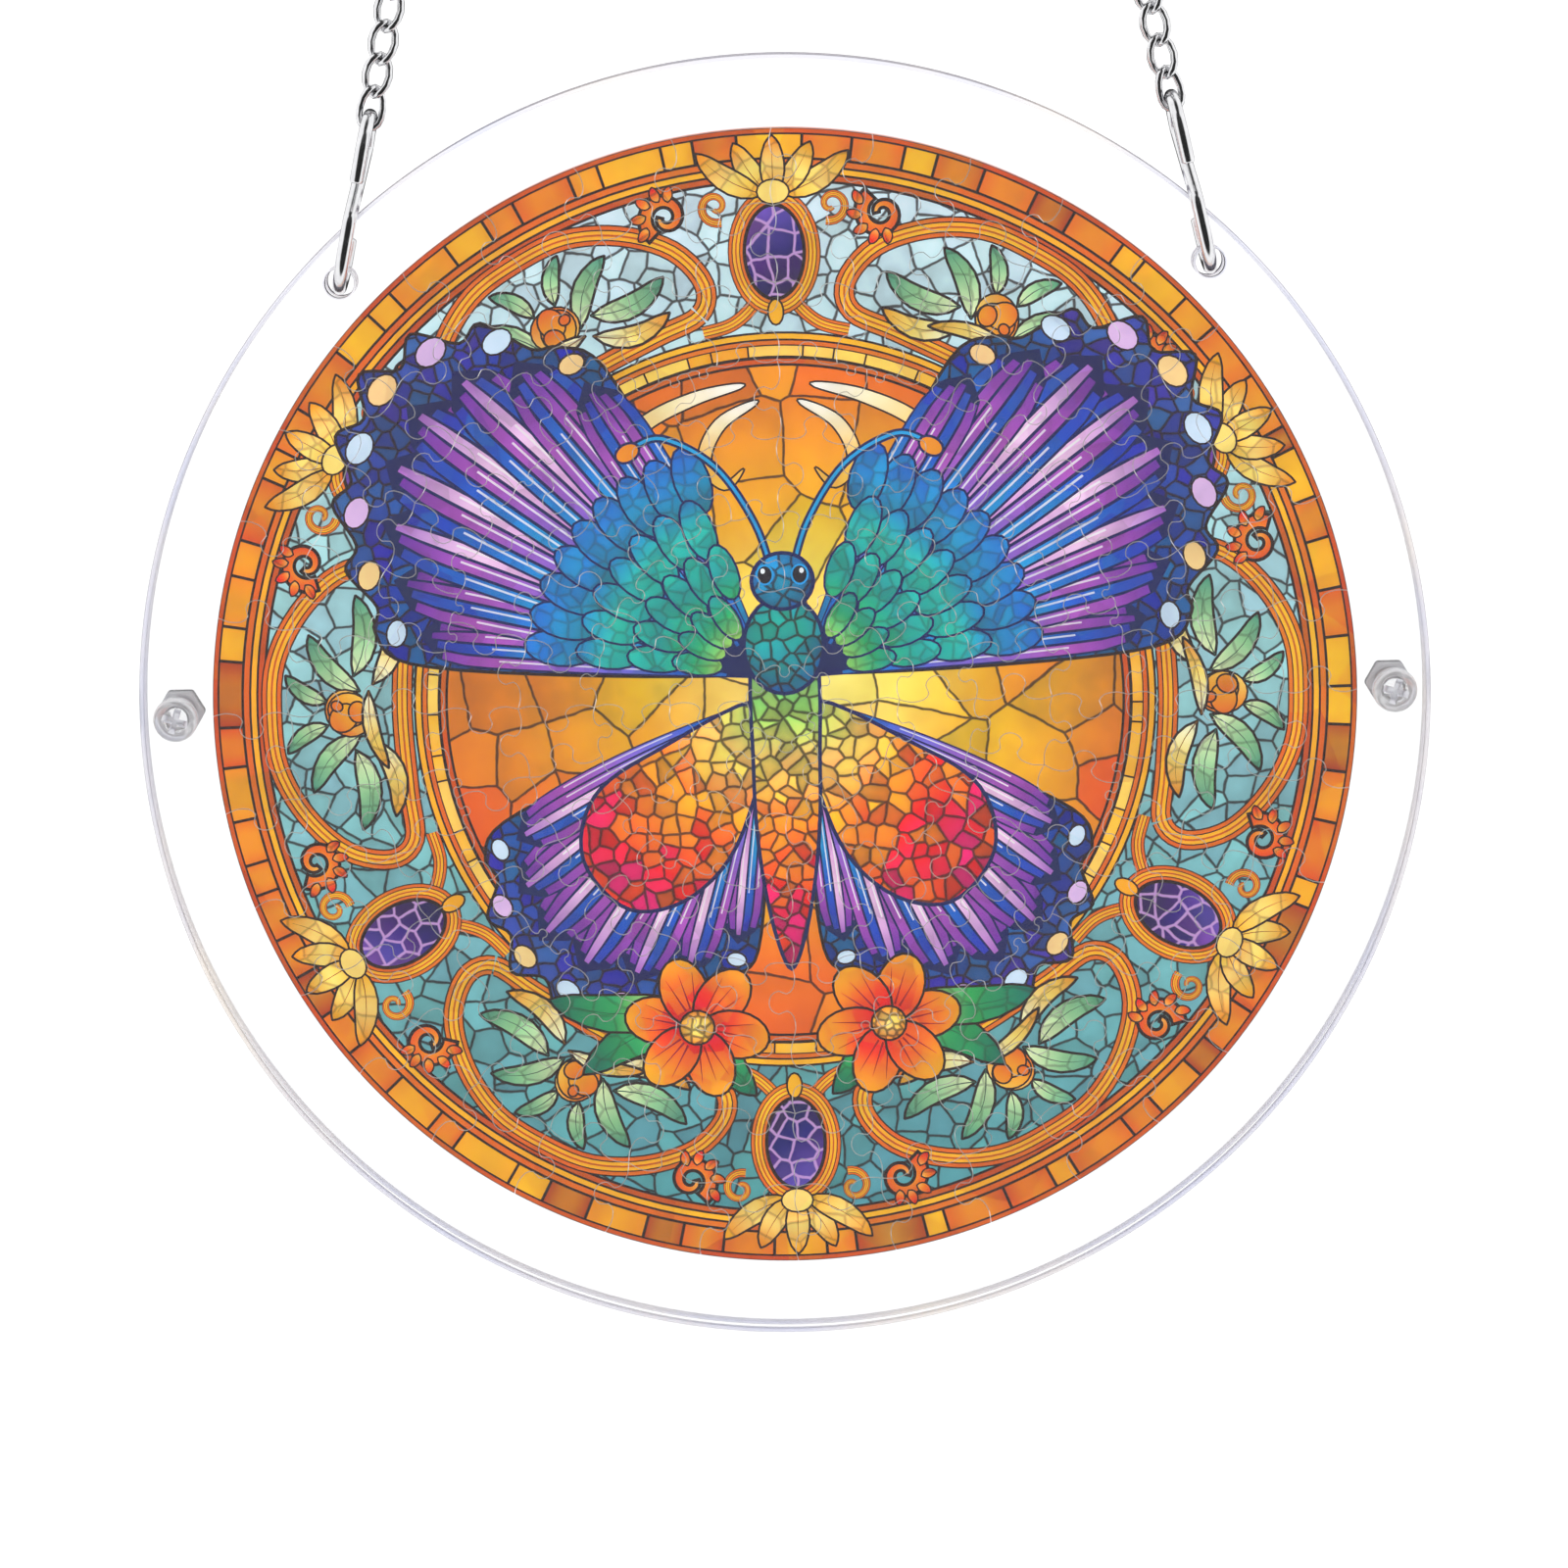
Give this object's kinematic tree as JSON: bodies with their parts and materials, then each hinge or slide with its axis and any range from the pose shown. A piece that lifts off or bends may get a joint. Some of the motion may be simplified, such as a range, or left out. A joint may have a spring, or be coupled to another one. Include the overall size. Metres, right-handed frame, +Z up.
{
  "type": "puzzle suncatcher",
  "caption": "Round jigsaw picture held between two clear discs by plastic screws, hung by S-hooks from a chain.",
  "frame": {"origin": "where the chain hangs: under the upper side of its middle link", "axes": "+Z up, +X to the viewer's right, -Y the front, where the picture faces"},
  "size_m": [0.2, 0.0147, 0.4754],
  "materials": {
    "clear_acrylic": "clear, polished, cut edges a little frosted",
    "printed_acrylic": "full-colour print on clear pieces, satin gloss",
    "clear_nylon": "moulded, see-through",
    "polished_steel": "bright polished wire"
  },
  "bodies": {
    "root": {"front_panel": "clear_acrylic", "back_panel": "clear_acrylic", "puzzle_centre": "printed_acrylic", "puzzle_inner_01": "printed_acrylic", "puzzle_inner_02": "printed_acrylic", "puzzle_inner_03": "printed_acrylic", "puzzle_inner_04": "printed_acrylic", "puzzle_inner_05": "printed_acrylic", "puzzle_inner_06": "printed_acrylic", "puzzle_middle_01": "printed_acrylic", "puzzle_middle_02": "printed_acrylic", "puzzle_middle_03": "printed_acrylic", "puzzle_middle_04": "printed_acrylic", "puzzle_middle_05": "printed_acrylic", "puzzle_middle_06": "printed_acrylic", "puzzle_middle_07": "printed_acrylic", "puzzle_middle_08": "printed_acrylic", "puzzle_middle_09": "printed_acrylic", "puzzle_middle_10": "printed_acrylic", "puzzle_middle_11": "printed_acrylic", "puzzle_middle_12": "printed_acrylic", "puzzle_outer_01": "printed_acrylic", "puzzle_outer_02": "printed_acrylic", "puzzle_outer_03": "printed_acrylic", "puzzle_outer_04": "printed_acrylic", "puzzle_outer_05": "printed_acrylic", "puzzle_outer_06": "printed_acrylic", "puzzle_outer_07": "printed_acrylic", "puzzle_outer_08": "printed_acrylic", "puzzle_outer_09": "printed_acrylic", "puzzle_outer_10": "printed_acrylic", "puzzle_outer_11": "printed_acrylic", "puzzle_outer_12": "printed_acrylic", "puzzle_outer_13": "printed_acrylic", "puzzle_outer_14": "printed_acrylic", "puzzle_outer_15": "printed_acrylic", "puzzle_outer_16": "printed_acrylic", "puzzle_outer_17": "printed_acrylic", "puzzle_outer_18": "printed_acrylic", "screw_left": "clear_nylon", "screw_right": "clear_nylon", "nut_left": "clear_nylon", "nut_right": "clear_nylon", "s_hook_left": "polished_steel", "s_hook_right": "polished_steel", "chain_left": "polished_steel", "chain_right": "polished_steel", "chain_middle_link": "polished_steel"}
  },
  "joints": []
}
